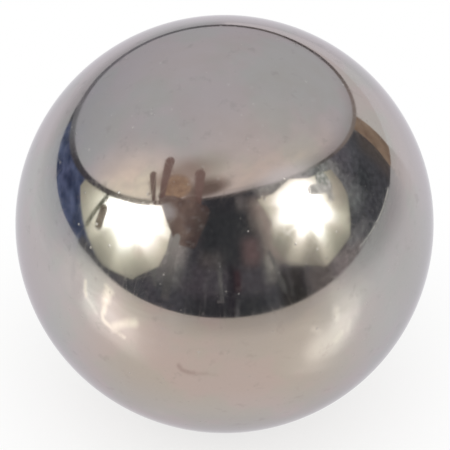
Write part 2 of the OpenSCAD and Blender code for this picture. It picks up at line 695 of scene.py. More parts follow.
# %% Light on the sheet
SHADOW_FROM = 0.4
SHADOW_GONE = 1.7
FRONT_SHADE = {"bearings": (-18.0, 42.0, 12.0), "heights": (-16.0, -9.0), "most": 0.20}
RIGHT_SHADE = {"bearings": (66.0, 112.0, 10.0), "heights": (-12.0, -3.0), "most": 0.24}


def shaded(bearings, heights, most):
    """How much darker the sheet lies between two bearings, from none near the ball to most."""
    inside = within(tree, where["Bearing"], *bearings)
    return calc(tree, "MULTIPLY", inside, remap(tree, where["Height"], *heights, 0.0, most))


own_mirrored = calc(tree, "MULTIPLY", path["Is Glossy Ray"], OWN_LIGHT_MIRRORED)
own_seen = remap(tree, where["Reach"], SHADOW_FROM, SHADOW_GONE, OWN_LIGHT_SEEN, 1.0)
level = calc(tree, "ADD", beside, crease_glint)
level = calc(tree, "MULTIPLY", level, PALE_MIRRORED / TABLE_COLOUR[0])
shade = calc(tree, "ADD", shaded(**FRONT_SHADE), shaded(**RIGHT_SHADE))
level = calc(tree, "MULTIPLY", level, calc(tree, "SUBTRACT", 1.0, shade))
satin = lit_sheet(tone, own_mirrored, level, **{"Coat Normal": ripple.outputs[0], **SATIN})
plain = lit_sheet(TABLE_WHITE, own_seen, WHITE_SEEN / TABLE_WHITE[0])
choice = put(tree, "MixShader", {0: path["Is Camera Ray"], 1: satin.outputs[0], 2: plain.outputs[0]})
put(tree, "OutputMaterial", {"Surface": choice.outputs[0]})
table.data.materials.append(sheet)
print("satin_sheet:", len(tree.nodes), "nodes")

# %% [markdown]
# ## Cards that only the ball sees
# A photographer shapes a mirror with cards: panels just outside the picture whose only task is to
# be mirrored. In Blender a card can be hidden from the camera and from soft light, so that it
# darkens nothing and shows only in gloss. Each one gives off its own tone, a glow with the light
# and shade it would have painted in, and Cycles is told not to use it as a lamp.

# %% Helpers for cards
def only_mirrored(card):
    """Hides a card from everything but mirrors."""
    card.visible_camera = False
    card.visible_diffuse = False
    card.visible_transmission = False
    card.visible_volume_scatter = False
    card.visible_shadow = False


FACING_BALL = (0.3, 0.9)
LYING_FLAT = (0.68, 1.0)


def near(tree, place, point, far, close, most=1.0):
    """Most this close to a point, thinning out to 0 this far from it."""
    away = vector_math(tree, "DISTANCE", place, point, "Value")
    return remap(tree, away, far, close, 0.0, most)


def dabbed(tree, place, tone, dabs):
    """Lays soft dabs over a tone. Each has its x and y, how far off it ends and is full, a share
    and a colour."""
    for (x, y), far, close, share, colour in dabs:
        tone = mixed(tree, near(tree, place, (x, y, 0.0), far, close, share), tone, colour)
    return tone


def self_lit(tree, material, colour, strength=1.0, blurred=None, thinned=None):
    """Ends a card's material with a glow of this colour. Blurred is how far the card turns away
    where it starts and ends to thin out; thinned is a mask that does the same."""
    look = put(tree, "Emission", {"Color": colour, "Strength": strength}).outputs[0]
    if blurred:
        turned_away = put(tree, "LayerWeight", {"Blend": 0.5}).outputs["Facing"]
        thinned = remap(tree, turned_away, *blurred)
    if thinned:
        clear = put(tree, "BsdfTransparent").outputs[0]
        look = put(tree, "MixShader", {0: thinned, 1: look, 2: clear}).outputs[0]
    put(tree, "OutputMaterial", {"Surface": look})
    material.cycles.emission_sampling = "NONE"


def cloth(name, dark, light, scale=0.2, blurred=None):
    """A dull card cloth: two tones in soft patches."""
    material, tree = empty_material(name)
    place = object_place(tree, radius)
    tone = mixed(tree, blots(tree, place, scale), rgba(*dark), rgba(*light))
    self_lit(tree, material, tone, blurred=blurred)
    return material


def face_ball(card, spin=0.0):
    """Turns a card so that its own +Z looks at the ball."""
    look = (centre - card.location).to_track_quat("Z", "Y")
    card.rotation_mode = "QUATERNION"
    card.rotation_quaternion = look @ Quaternion((0, 0, 1), math.radians(spin))


# %% [markdown]
# ## The dim room
# The table ends at a straight edge in front of the ball, and beyond it and above it the ball
# mirrors a dark room. The room is half a sphere round the table, the apron is a dark board past
# the table's edge, and a low bench of two boards runs behind the left lamp's foot. One material
# serves them all, and it is written in bearings and heights, so its tones run on across the joins:
# darkest straight behind the camera, greyer to the sides, and open to a pale wall behind the ball
# on the right. Furniture too dim to make out is no more than a soft block of tone, listed below.

# %% Room, apron and bench
ROOM_RADIUS = 110 * radius
TABLE_EDGE = 8.4 * radius
EDGE_TURN = -3.4
APRON_SIZE = Vector((150, 100, 0.10)) * radius
BENCH_BEARING = -66
BENCH_OUT = 25
BENCH_ROLL = 7.0
BENCH_SIZE = Vector((29, 3, 2.6)) * radius
BENCH_END_SIZE = Vector((8, 3, 2.6)) * radius
BOARD_BEVEL = 0.2

clear_selection()
bpy.ops.mesh.primitive_uv_sphere_add(segments=64, ring_count=32, radius=ROOM_RADIUS,
                                     location=(0, 0, low[2]))
room = bpy.context.object
room.name = "dim_room"
bpy.ops.object.mode_set(mode="EDIT")
bpy.ops.mesh.select_all(action="SELECT")
bpy.ops.mesh.bisect(plane_co=(0, 0, low[2]), plane_no=(0, 0, 1), clear_inner=True)
bpy.ops.object.mode_set(mode="OBJECT")


def dark_board(name, size, middle, turn, roll=0.0):
    """A flat dark board with its edges bevelled, ready for the room's material."""
    clear_selection()
    angles = (0, math.radians(roll), math.radians(turn))
    bpy.ops.mesh.primitive_cube_add(size=1.0, location=middle, rotation=angles)
    board = bpy.context.object
    board.name = name
    board.scale = size
    bpy.ops.object.transform_apply(location=False, rotation=False, scale=True)
    bpy.ops.object.mode_set(mode="EDIT")
    bpy.ops.mesh.select_all(action="SELECT")
    bpy.ops.mesh.bevel(offset=BOARD_BEVEL * size[2], segments=2)
    bpy.ops.object.mode_set(mode="OBJECT")
    return board


def bench_spot(along, lift):
    """A place in line with the bench: along it from BENCH_BEARING and up, in ball radii."""
    start = toward(BENCH_BEARING, 0) * BENCH_OUT * radius
    up = Vector((0, 0, low[2] + lift * radius))
    return start + toward(BENCH_BEARING + 90, 0) * along * radius + up


apron_place = (0, -TABLE_EDGE - APRON_SIZE.y / 2, low[2])
apron = dark_board("dark_apron", APRON_SIZE, apron_place, EDGE_TURN)
bench_place, bench_end_place = bench_spot(14.0, 0.75), bench_spot(-3.0, 0.0)
bench = dark_board("low_bench", BENCH_SIZE, bench_place, BENCH_BEARING, -BENCH_ROLL)
bench_end = dark_board("bench_end", BENCH_END_SIZE, bench_end_place, BENCH_BEARING, 2 * BENCH_ROLL)
for piece in (room, apron, bench, bench_end):
    clear_selection()
    piece.select_set(True)
    bpy.context.view_layer.objects.active = piece
    bpy.ops.object.transform_apply(location=True, rotation=True, scale=True)
    only_mirrored(piece)
    print(f"{piece.name}: {len(piece.data.polygons)} faces")

# %% Room cloth
ROOM_DARK = rgba(0.051, 0.053, 0.060)
ROOM_GREY = rgba(0.094, 0.094, 0.109)
ROOM_STREAK = rgba(0.19, 0.185, 0.195)
ROOM_OPEN = rgba(0.80, 0.75, 0.73)
ALL_HEIGHTS = (-90, 90)
DARK_PART = {"bearings": (-18, 22), "heights": ALL_HEIGHTS, "soft": 8}
OPEN_PART = {"bearings": (125.5, 190), "heights": ALL_HEIGHTS, "soft": 1.5}

# Each block: its bearings, its heights, how soft its edges are in degrees, and its tone.
FURNITURE = (
    ((-40, -21), (5, 60), 4, rgba(0.21, 0.20, 0.205)),
    ((-34, -24), (15, 34), 4, rgba(0.46, 0.44, 0.42)),
    ((-22, 26), (3, 18), 5, rgba(0.100, 0.092, 0.108)),
    ((-14, -1), (18, 26), 4, rgba(0.118, 0.110, 0.112)),
    ((18, 26), (36, 54), 3.5, rgba(0.190, 0.165, 0.155)),
    ((10, 18), (48, 57), 3, rgba(0.165, 0.155, 0.155)),
    ((32, 66), (51, 66), 4, rgba(0.43, 0.43, 0.41)),
    ((64, 86), (42, 57), 4, rgba(0.47, 0.47, 0.475)),
    ((2, 7), (-12, 21), 2, rgba(0.040, 0.036, 0.045)),
    ((11, 21), (19, 33), 4, rgba(0.195, 0.130, 0.134)),
    ((24, 40), (17, 52), 4.5, rgba(0.45, 0.375, 0.335)),
    ((22, 29), (7, 20), 3, rgba(0.25, 0.240, 0.232)),
    ((23.5, 27.5), (14, 23), 2.5, rgba(0.44, 0.41, 0.38)),
    ((5.5, 8.5), (5, 17), 1.5, rgba(0.070, 0.038, 0.046)),
    ((28, 42), (-9, 12), 3, rgba(0.040, 0.038, 0.038)),
    ((43, 58), (-9, 7.5), 3, rgba(0.165, 0.150, 0.145)),
    ((58, 78), (-9, 7), 4, rgba(0.300, 0.260, 0.265)),
    ((81, 94), (13, 42), 5, rgba(0.215, 0.225, 0.235)),
    ((83, 97), (31, 44), 3, rgba(0.330, 0.335, 0.335)),
    ((96, 113), (22, 42), 5, rgba(0.145, 0.145, 0.168)),
    ((70, 86), (3, 8), 3, rgba(0.245, 0.240, 0.256)),
    ((95, 104), (11, 21), 4, rgba(0.075, 0.080, 0.090)),
    ((112, 127), (-1, 20), 4, rgba(0.125, 0.108, 0.105)),
    ((121.0, 126.0), (19.5, 24.5), 1.5, rgba(0.50, 0.48, 0.46)),
)

dim, tree = empty_material("dim_room_cloth")
in_room = object_place(tree, radius)
where = use_group(tree, compass, {"Vector": in_room})
bearing, height = where["Bearing"], where["Height"]


def tone_block(tree, tone, colour, bearings, heights, soft):
    """Fades to a colour inside a range of bearings and heights."""
    inside = calc(tree, "MULTIPLY", within(tree, bearing, *bearings, soft),
                  within(tree, height, *heights, soft))
    return mixed(tree, inside, tone, colour)


tone = tone_block(tree, ROOM_GREY, ROOM_DARK, **DARK_PART)
for bearings, heights, soft, colour in FURNITURE:
    tone = tone_block(tree, tone, colour, bearings, heights, soft)
print("furniture:", len(FURNITURE), "soft blocks")

# %% Streaks and mottling in the room
STREAK_SHAPE = (0.25, 0.03, 1.0)
STREAK_COVER = {"low": 0.52, "high": 0.75}
STREAKS_LOW_DOWN = (36.0, 12.0, 0.0, 0.6)
STREAKS_IN_FRONT = (60.0, 35.0)
MOTTLE_FINE = 0.40
MOTTLE_TO_RIGHT = (40.0, 75.0, 0.20, 0.34)
MOTTLE_ENDS = (98.0, 115.0, 1.0, 0.35)

angles = put(tree, "CombineXYZ", {"X": bearing, "Y": height}).outputs[0]
upright = put(tree, "Mapping", {"Vector": angles, "Scale": STREAK_SHAPE}).outputs[0]
streak = blots(tree, upright, 1.0, **STREAK_COVER)
low_down = remap(tree, height, *STREAKS_LOW_DOWN)
turned_aside = calc(tree, "ABSOLUTE", bearing)
low_down = calc(tree, "MULTIPLY", low_down, remap(tree, turned_aside, *STREAKS_IN_FRONT))
tone = mixed(tree, calc(tree, "MULTIPLY", streak, low_down), tone, ROOM_STREAK)
mottle = blots(tree, angles, MOTTLE_FINE)
uneven = remap(tree, bearing, *MOTTLE_TO_RIGHT)
uneven = calc(tree, "MULTIPLY", uneven, remap(tree, bearing, *MOTTLE_ENDS))
shade = calc(tree, "MULTIPLY_ADD", calc(tree, "MULTIPLY_ADD", mottle, 2.0, -1.0), uneven, 1.0)
grey = put(tree, "CombineColor", {"Red": shade, "Green": shade, "Blue": shade}).outputs[0]
tone = mixed(tree, 1.0, tone, grey, blend_type="MULTIPLY")
tone = tone_block(tree, tone, ROOM_OPEN, **OPEN_PART)
self_lit(tree, dim, tone)
for piece in (room, apron, bench, bench_end):
    piece.data.materials.append(dim)
print("dim_room_cloth:", len(tree.nodes), "nodes")

# %% [markdown]
# ## The round reflector
# A flat white disc on a dark sprung hoop leans over the ball and fills its top with a soft pale
# plane. Its light and shade are painted into its colour: the side near the camera has the warm
# lamps' painted light, most of all near the left one, the far side goes cool, the clamp leaves a
# painted shade on it and its hem is painted darker. The shading is written across the disc in its
# own x and y, where y points to the camera's side. The hoop swells at one place, where the spring's
# two ends overlap in their binding, and its tone changes round the disc with painted light and
# shade.

# %% Reflector
REFLECTOR_CENTRE = Vector((3.78, -0.79, 17.84)) * radius
REFLECTOR_RADIUS = 26.74 * radius
REFLECTOR_TILT = (-158.2, 48.7)
HOOP_THICKNESS = 0.62 * radius
HOOP_SIDES = 160
HOOP_TUBE_SIDES = 10
HOOP_SWELL_AT = math.radians(172)
HOOP_SWELL_NARROW = 12
HOOP_SWELL_OUT = 0.6 * radius
HOOP_SWELL_THICKER = 0.95

clear_selection()
bpy.ops.mesh.primitive_circle_add(vertices=HOOP_SIDES, radius=REFLECTOR_RADIUS, fill_type="NGON",
                                  location=REFLECTOR_CENTRE)
disc = bpy.context.object
disc.name = "reflector"
disc.rotation_mode = "QUATERNION"
disc.rotation_quaternion = (-toward(*REFLECTOR_TILT)).to_track_quat("Z", "Y")
only_mirrored(disc)

clear_selection()
bpy.ops.mesh.primitive_torus_add(major_radius=REFLECTOR_RADIUS, minor_radius=HOOP_THICKNESS,
                                 major_segments=HOOP_SIDES, minor_segments=HOOP_TUBE_SIDES,
                                 location=REFLECTOR_CENTRE)
hoop = bpy.context.object
hoop.name = "reflector_hoop"
hoop.rotation_mode = "QUATERNION"
hoop.rotation_quaternion = disc.rotation_quaternion
only_mirrored(hoop)
for corner in hoop.data.vertices:
    turn = math.atan2(corner.co.y, corner.co.x)
    swell = max(0.0, math.cos(turn - HOOP_SWELL_AT)) ** HOOP_SWELL_NARROW
    ring = Vector((math.cos(turn), math.sin(turn), 0.0))
    off_ring = corner.co - ring * REFLECTOR_RADIUS
    swollen = REFLECTOR_RADIUS + HOOP_SWELL_OUT * swell
    corner.co = ring * swollen + off_ring * (1 + HOOP_SWELL_THICKER * swell)
print(f"reflector: {2 * REFLECTOR_RADIUS:.3f} m across, hoop {len(hoop.data.polygons)} faces")

# %% Hoop binding
HOOP_DARK = rgba(0.10, 0.09, 0.09)
HOOP_PALER = rgba(0.19, 0.17, 0.16)
HOOP_SHADE = rgba(0.085, 0.080, 0.095)
HOOP_WARM = rgba(0.44, 0.39, 0.34)
HOOP_LIT = rgba(0.60, 0.59, 0.58)
HOOP_DULL = rgba(0.320, 0.270, 0.250)
HOOP_GREY = rgba(0.240, 0.240, 0.260)
HOOP_BLOTS = 0.2
# Dabs of painted light and shade round the hoop.
HOOP_DABS = (
    ((-19.0, -19.0), 12.0, 4.0, 1.0, HOOP_SHADE),
    ((-7.0, -27.5), 13.0, 5.0, 1.0, HOOP_GREY),
    ((-28.5, 1.0), 12.0, 5.0, 1.0, HOOP_WARM),
    ((24.5, -11.4), 19.0, 8.0, 1.0, HOOP_DULL),
    ((13.0, 22.0), 17.0, 5.0, 1.0, HOOP_LIT),
)

bound, tree = empty_material("hoop_binding")
on_hoop = object_place(tree, radius)
tone = mixed(tree, blots(tree, on_hoop, HOOP_BLOTS), HOOP_DARK, HOOP_PALER)
tone = dabbed(tree, on_hoop, tone, HOOP_DABS)
self_lit(tree, bound, tone)
hoop.data.materials.append(bound)
print("hoop_binding:", len(tree.nodes), "nodes")

# %% Reflector cloth
CLOTH_COOL = rgba(0.650, 0.638, 0.665)
CLOTH_WARM = rgba(0.88, 0.76, 0.675)
CLOTH_LAMPLIT = rgba(1.22, 1.05, 0.88)
CLOTH_SHADE = rgba(0.50, 0.51, 0.57)
CLOTH_MOTTLE = rgba(0.60, 0.57, 0.56)
CLOTH_CLAMP_SHADE = rgba(0.385, 0.285, 0.235)
CLOTH_ROOT_SHADE = rgba(0.21, 0.155, 0.135)
CLOTH_HEM_SHADE = rgba(0.45, 0.42, 0.43)
CLOTH_LIT = rgba(0.95, 0.92, 0.91)
CLOTH_BLOTS = {"scale": 0.22, "low": 0.35, "high": 0.70}
MOTTLE_SHOWS = 0.35
WANDER = 5.0
CLOTH_NOISE = {"Scale": 0.09, "Detail": 3.0}
COOL_TO_WARM = (-11.0, 15.0)
HEM_MIDDLE = (-5.0, -5.0, 0.0)
HEM_SHADE_SHOWS = (22.0, 31.0, 0.0, 0.75)
LAMP_DABS = (
    ((-22.0, -4.0), 14.0, 2.0, 1.0, CLOTH_LAMPLIT),
    ((-12.0, -25.0), 14.0, 2.0, 0.8, CLOTH_SHADE),
)
# Painted shade that the clamp and its fingers cast on the cloth.
CLAMP_SHADE_DABS = (
    ((-14.2, 12.7), 9.5, 2.5, 0.80, CLOTH_CLAMP_SHADE),
    ((-12.6, 2.0), 6.0, 1.5, 0.60, CLOTH_CLAMP_SHADE),
    ((-16.9, 1.8), 5.5, 1.0, 0.80, CLOTH_CLAMP_SHADE),
    ((-9.0, 3.5), 6.5, 1.0, 0.40, CLOTH_CLAMP_SHADE),
    ((-13.6, 13.7), 9.0, 2.6, 0.92, CLOTH_ROOT_SHADE),
)
LIT_DABS = (((12.0, 21.0), 15.0, 3.0, 0.85, CLOTH_LIT),)

white, tree = empty_material("reflector_cloth")
on_disc = object_place(tree, radius)
across = put(tree, "SeparateXYZ", {"Vector": on_disc}).outputs
soft_noise = put(tree, "TexNoise", {"Vector": on_disc, **CLOTH_NOISE}).outputs["Fac"]
wander = calc(tree, "MULTIPLY_ADD", soft_noise, 2 * WANDER, -WANDER)
warmth = remap(tree, calc(tree, "ADD", across["Y"], wander), *COOL_TO_WARM)
tone = mixed(tree, warmth, CLOTH_COOL, CLOTH_WARM)
tone = dabbed(tree, on_disc, tone, LAMP_DABS)
mottle = blots(tree, on_disc, **CLOTH_BLOTS)
tone = mixed(tree, calc(tree, "MULTIPLY", mottle, MOTTLE_SHOWS), tone, CLOTH_MOTTLE)
tone = dabbed(tree, on_disc, tone, CLAMP_SHADE_DABS)
# Painted shade: the hem of the cloth is painted darker towards the rim.
off_middle = vector_math(tree, "DISTANCE", on_disc, HEM_MIDDLE, "Value")
tone = mixed(tree, remap(tree, off_middle, *HEM_SHADE_SHOWS), tone, CLOTH_HEM_SHADE)
tone = dabbed(tree, on_disc, tone, LIT_DABS)
self_lit(tree, white, tone)
disc.data.materials.append(white)
print("reflector_cloth:", len(tree.nodes), "nodes")

# %% [markdown]
# ## What holds the reflector
# A grey stand rises in front of the ball, a little to the left, and a clamp at its top grips the
# hoop. In the steel the stand is a faint upright streak between the lamps. The clamp has three
# fingers dipped in rubber that lie on the cloth, paler towards their tips, and a cork pad between
# them, and the cloth round them has a painted shade. A bundle of brown cloth, gathered to a point,
# with painted shade in its folds and a painted pale sheen near one end, hangs from it as a weight
# that keeps the reflector from swinging.

# %% Poles
POLE_SIDES = 24
POLE_SHOULDERS = ((0.3, 0.55), (0.4, 0.20))


def pole_between(name, foot, top, thickness, material):
    """A straight round pole from foot to top, its two ends rounded over."""
    clear_selection()
    span = top - foot
    bpy.ops.mesh.primitive_cylinder_add(vertices=POLE_SIDES, radius=thickness * radius,
                                        depth=span.length, location=(foot + top) / 2)
    pole = bpy.context.object
    pole.name = name
    pole.rotation_mode = "QUATERNION"
    pole.rotation_quaternion = span.to_track_quat("Z", "Y")
    select_faces(pole, lambda face: len(face.vertices) > 4)
    for inwards, outwards in POLE_SHOULDERS:
        bpy.ops.mesh.inset(thickness=inwards * thickness * radius, depth=outwards * thickness * radius,
                           use_individual=True)
    bpy.ops.mesh.select_mode(type="VERT")
    bpy.ops.object.mode_set(mode="OBJECT")
    bpy.ops.object.shade_smooth_by_angle(angle=math.radians(50))
    pole.data.materials.append(material)
    only_mirrored(pole)
    return pole


def on_the_floor(bearing, reach_out):
    """The point of the table's plane at this bearing, this many ball radii out."""
    return toward(bearing, 0) * reach_out * radius + Vector((0, 0, low[2]))


print(f"a pole has {POLE_SIDES} sides and {len(POLE_SHOULDERS)} steps to each rounded end")

# %% Stand and clamp
STAND_BEARING = -29.3
STAND_OUT = 23.0
STAND_TOP = 28.0 * radius
STAND_THICKNESS = 0.95
STAND_LIGHT = rgba(0.40, 0.385, 0.365)
STAND_DIM = rgba(0.13, 0.125, 0.13)
STAND_PALES = (-13.0, -1.0)
CLAMP_SIZE = 5.5 * radius
CLAMP_SPIN = 20.0
CLAMP_ROUNDING = 0.22
CLAMP_RUBBER = {"dark": (0.17, 0.12, 0.105), "light": (0.29, 0.21, 0.18)}

stand_metal, tree = empty_material("stand_metal")
along_stand = put(tree, "SeparateXYZ", {"Vector": object_place(tree, radius)}).outputs["Z"]
tone = mixed(tree, remap(tree, along_stand, *STAND_PALES), STAND_DIM, STAND_LIGHT)
self_lit(tree, stand_metal, tone, blurred=FACING_BALL)
stand_foot = on_the_floor(STAND_BEARING, STAND_OUT)
stand_top = Vector((stand_foot.x, stand_foot.y, STAND_TOP))
pole_between("reflector_stand", stand_foot, stand_top, STAND_THICKNESS, stand_metal)

clear_selection()
bpy.ops.mesh.primitive_cube_add(size=CLAMP_SIZE, location=stand_top)
clamp = bpy.context.object
clamp.name = "reflector_clamp"
face_ball(clamp, CLAMP_SPIN)
bpy.ops.object.mode_set(mode="EDIT")
bpy.ops.mesh.select_all(action="SELECT")
bpy.ops.mesh.bevel(offset=CLAMP_ROUNDING * CLAMP_SIZE, segments=4)
bpy.ops.object.mode_set(mode="OBJECT")
only_mirrored(clamp)
clamp.data.materials.append(cloth("clamp_rubber", **CLAMP_RUBBER))
print(f"reflector_clamp: {len(clamp.data.polygons)} faces")


# %% Fingers of the clamp
def on_the_reflector(x, y, lift):
    """A place over the reflector's cloth: x and y across it, lift towards the ball, in radii."""
    return REFLECTOR_CENTRE + disc.rotation_quaternion @ Vector((x, y, lift)) * radius


FINGER_LIFT = 1.4
FINGERS = (
    {"root": (-24.2, 3.2), "tip": (-14.9, -4.1), "thickness": 0.58},
    {"root": (-24.4, 6.0), "tip": (-11.1, -4.1), "thickness": 0.70},
    {"root": (-19.4, 18.4), "tip": (-9.9, 2.7), "thickness": 0.96},
)
FINGER_ROOT = rgba(0.190, 0.122, 0.108)
FINGER_TIP = rgba(0.290, 0.200, 0.180)
FINGER_PALES = 0.85
FINGER_MOTTLE = 0.3
FINGER_ENDS = (-7.0, 7.0)
FINGER_BLOTS = 0.5

dipped, tree = empty_material("dipped_fingers")
on_finger = object_place(tree, radius)
along_finger = put(tree, "SeparateXYZ", {"Vector": on_finger}).outputs["Z"]
toward_tip = calc(tree, "MULTIPLY", remap(tree, along_finger, *FINGER_ENDS), FINGER_PALES)
toward_tip = calc(tree, "MULTIPLY_ADD", blots(tree, on_finger, FINGER_BLOTS), FINGER_MOTTLE, toward_tip)
self_lit(tree, dipped, mixed(tree, toward_tip, FINGER_ROOT, FINGER_TIP), blurred=LYING_FLAT)
for count, finger in enumerate(FINGERS):
    ends = [on_the_reflector(*finger[end], FINGER_LIFT) for end in ("root", "tip")]
    pole_between(f"clamp_finger_{count + 1}", *ends, finger["thickness"], dipped)
print("clamp fingers:", len(FINGERS))

# %% Pad of the clamp
PAD_PLACE = (-16.9, 4.3, 1.0)
PAD_SIZE = Vector((14.0, 9.0, 2.0)) * radius
PAD_TURN = -52
CORK_DARK = rgba(0.36, 0.240, 0.175)
CORK_LIGHT = rgba(0.55, 0.390, 0.270)
CORK_GRAIN = 5.0
FLATTENED = (1.0, 1.0, 0.0)
PAD_WHOLE_TO = (0.44, 0.24)

clear_selection()
bpy.ops.mesh.primitive_cube_add(size=1.0, location=on_the_reflector(*PAD_PLACE))
pad = bpy.context.object
pad.name = "clamp_pad"
pad.scale = PAD_SIZE
pad.rotation_mode = "QUATERNION"
pad.rotation_quaternion = disc.rotation_quaternion @ Quaternion((0, 0, 1), math.radians(PAD_TURN))
apply_modifier(pad, "SUBSURF", levels=3, render_levels=3)
bpy.ops.object.shade_smooth()
only_mirrored(pad)
cork, tree = empty_material("cork_pad")
on_pad = put(tree, "TexCoord").outputs["Object"]
grain = blots(tree, on_pad, CORK_GRAIN)
flat_pad = put(tree, "Mapping", {"Vector": on_pad, "Scale": FLATTENED}).outputs[0]
worn_edge = calc(tree, "SUBTRACT", 1.0, near(tree, flat_pad, (0.0, 0.0, 0.0), *PAD_WHOLE_TO))
self_lit(tree, cork, mixed(tree, grain, CORK_DARK, CORK_LIGHT), thinned=worn_edge)
pad.data.materials.append(cork)
print(f"clamp_pad: {len(pad.data.polygons)} faces")

# %% Hanging bundle
BUNDLE_PLACE = {"bearing": -32.2, "height": 38.6, "distance": 27.5}
BUNDLE_SPIN = -6.0
BUNDLE_WIDE = 14.3 * radius
BUNDLE_TALL = 11.0 * radius
BUNDLE_DEEP = 0.4 * BUNDLE_WIDE
BUNDLE_GATHER = 0.345
BUNDLE_LEAN = 0.235

clear_selection()
bpy.ops.mesh.primitive_cube_add(size=1.0, location=spot(**BUNDLE_PLACE))
bundle = bpy.context.object
bundle.name = "hanging_bundle"
face_ball(bundle, BUNDLE_SPIN)
bundle.scale = (BUNDLE_WIDE, BUNDLE_TALL, BUNDLE_DEEP)
bpy.ops.object.mode_set(mode="EDIT")
bpy.ops.mesh.select_all(action="SELECT")
bpy.ops.mesh.subdivide(number_cuts=4)
bpy.ops.object.mode_set(mode="OBJECT")
for corner in bundle.data.vertices:
    below_top = 0.5 - corner.co.y
    gathered = 1 - (1 - BUNDLE_GATHER) * below_top
    corner.co.x = corner.co.x * gathered - BUNDLE_LEAN * below_top
    corner.co.z *= gathered
bpy.ops.object.mode_set(mode="EDIT")
bpy.ops.mesh.select_all(action="SELECT")
bpy.ops.transform.vertex_random(offset=0.035, uniform=0.6, seed=4)
bpy.ops.object.mode_set(mode="OBJECT")
apply_modifier(bundle, "SUBSURF", levels=2, render_levels=2)
bpy.ops.object.shade_smooth()
only_mirrored(bundle)
print(f"hanging_bundle: {len(bundle.data.polygons)} faces")

# %% Brown cloth of the bundle
BUNDLE_SHEEN_AND_WEAR = rgba(0.55, 0.53, 0.525)
BUNDLE_SHEEN_AT = (0.23, 0.13, 0.0)
BUNDLE_SHEEN_REACH = (0.25, 0.06, 0.85)
BUNDLE_BENDS = 0.24
BUNDLE_BLOTS = 2.2
BUNDLE_TURNS_DARK = (0.10, 0.50)
BUNDLE_MIDDLE = rgba(0.275, 0.205, 0.175)
BUNDLE_RIGHT = rgba(0.105, 0.080, 0.078)
BUNDLE_FOLD_SHADE = rgba(0.115, 0.080, 0.075)
FOLD_SHAPE = (7.0, 1.6, 1.0)
FOLD_COVER = {"low": 0.35, "high": 0.68}
FOLD_SHADE_SHOWS = 0.60
WORN = {"scale": 9.0, "low": 0.50, "high": 0.72}
WORN_SHOWS = 0.25

brown, tree = empty_material("brown_cloth")
on_bundle = put(tree, "TexCoord").outputs["Object"]
bend = blots(tree, on_bundle, BUNDLE_BLOTS)
across_bundle = put(tree, "SeparateXYZ", {"Vector": on_bundle}).outputs["X"]
side = calc(tree, "MULTIPLY_ADD", bend, BUNDLE_BENDS, calc(tree, "MULTIPLY", across_bundle, -1.0))
tone = mixed(tree, remap(tree, side, *BUNDLE_TURNS_DARK), BUNDLE_MIDDLE, BUNDLE_RIGHT)
# Painted shade in the folds of the cloth.
upright = put(tree, "Mapping", {"Vector": on_bundle, "Scale": FOLD_SHAPE}).outputs[0]
fold = blots(tree, upright, 1.0, **FOLD_COVER)
tone = mixed(tree, calc(tree, "MULTIPLY", fold, FOLD_SHADE_SHOWS), tone, BUNDLE_FOLD_SHADE)
# A painted pale sheen near one end; the same pale colour also marks worn patches.
flat_bundle = put(tree, "Mapping", {"Vector": on_bundle, "Scale": FLATTENED}).outputs[0]
sheen = near(tree, flat_bundle, BUNDLE_SHEEN_AT, *BUNDLE_SHEEN_REACH)
tone = mixed(tree, sheen, tone, BUNDLE_SHEEN_AND_WEAR)
worn = calc(tree, "MULTIPLY", blots(tree, on_bundle, **WORN), WORN_SHOWS)
tone = mixed(tree, worn, tone, BUNDLE_SHEEN_AND_WEAR)
self_lit(tree, brown, tone, blurred=FACING_BALL)
bundle.data.materials.append(brown)
print("brown_cloth:", len(tree.nodes), "nodes")

# %% [markdown]
# ## The umbrella lamps
# Each lamp is a white umbrella of eight panels with the bulbs shining into it. A cone with eight
# sides is already such a canopy: its sharp edges are the ribs, and its tip is the hub. The edge of
# a panel is pulled in between two ribs, as tight cloth is. The lamps aren't turned squarely to the
# ball, so the hub looks pushed to one side and the left canopy looks narrow. One canopy is
# modelled and copied. Each copy then has its hub moved and single corners of its rim nudged, where
# the cloth sits unevenly on its ribs.

# %% Canopies
RIBS = 8
CANOPY_DEPTH = 4.0 * radius
PULLED_IN = 0.985
JUST_UNDER_CORNER = 0.99
JUST_UNDER_MIDDLE = 0.98

clear_selection()
bpy.ops.mesh.primitive_cone_add(vertices=RIBS, radius1=CANOPY_RADIUS, radius2=0.0,
                                depth=CANOPY_DEPTH, end_fill_type="NOTHING",
                                location=(0, 0, 0), rotation=(math.pi, 0, 0))
canopy = bpy.context.object
canopy.name = "left_umbrella"
bpy.ops.object.transform_apply(location=True, rotation=True)
bpy.ops.object.mode_set(mode="EDIT")
bpy.ops.mesh.select_all(action="SELECT")
bpy.ops.mesh.subdivide(number_cuts=1)
bpy.ops.mesh.select_all(action="DESELECT")
bpy.ops.object.mode_set(mode="OBJECT")
corner_reach = CANOPY_RADIUS * JUST_UNDER_CORNER
middle_reach = CANOPY_RADIUS * math.cos(math.pi / RIBS) * JUST_UNDER_MIDDLE
for corner in canopy.data.vertices:
    reach_here = math.hypot(corner.co.x, corner.co.y)
    corner.select = middle_reach < reach_here < corner_reach
bpy.ops.object.mode_set(mode="EDIT")
bpy.ops.transform.resize(value=(PULLED_IN, PULLED_IN, 1.0))
bpy.ops.object.mode_set(mode="OBJECT")

clear_selection()
canopy.select_set(True)
bpy.context.view_layer.objects.active = canopy
bpy.ops.object.duplicate()
second = bpy.context.object
second.name = "right_umbrella"
print("canopy:", len(canopy.data.vertices), "corners")

# %% Hubs and rims
LEFT_HUB = (-0.16, 0.03)
RIGHT_HUB = (0.0, 0.28)
MOVES_FROM = 0.2

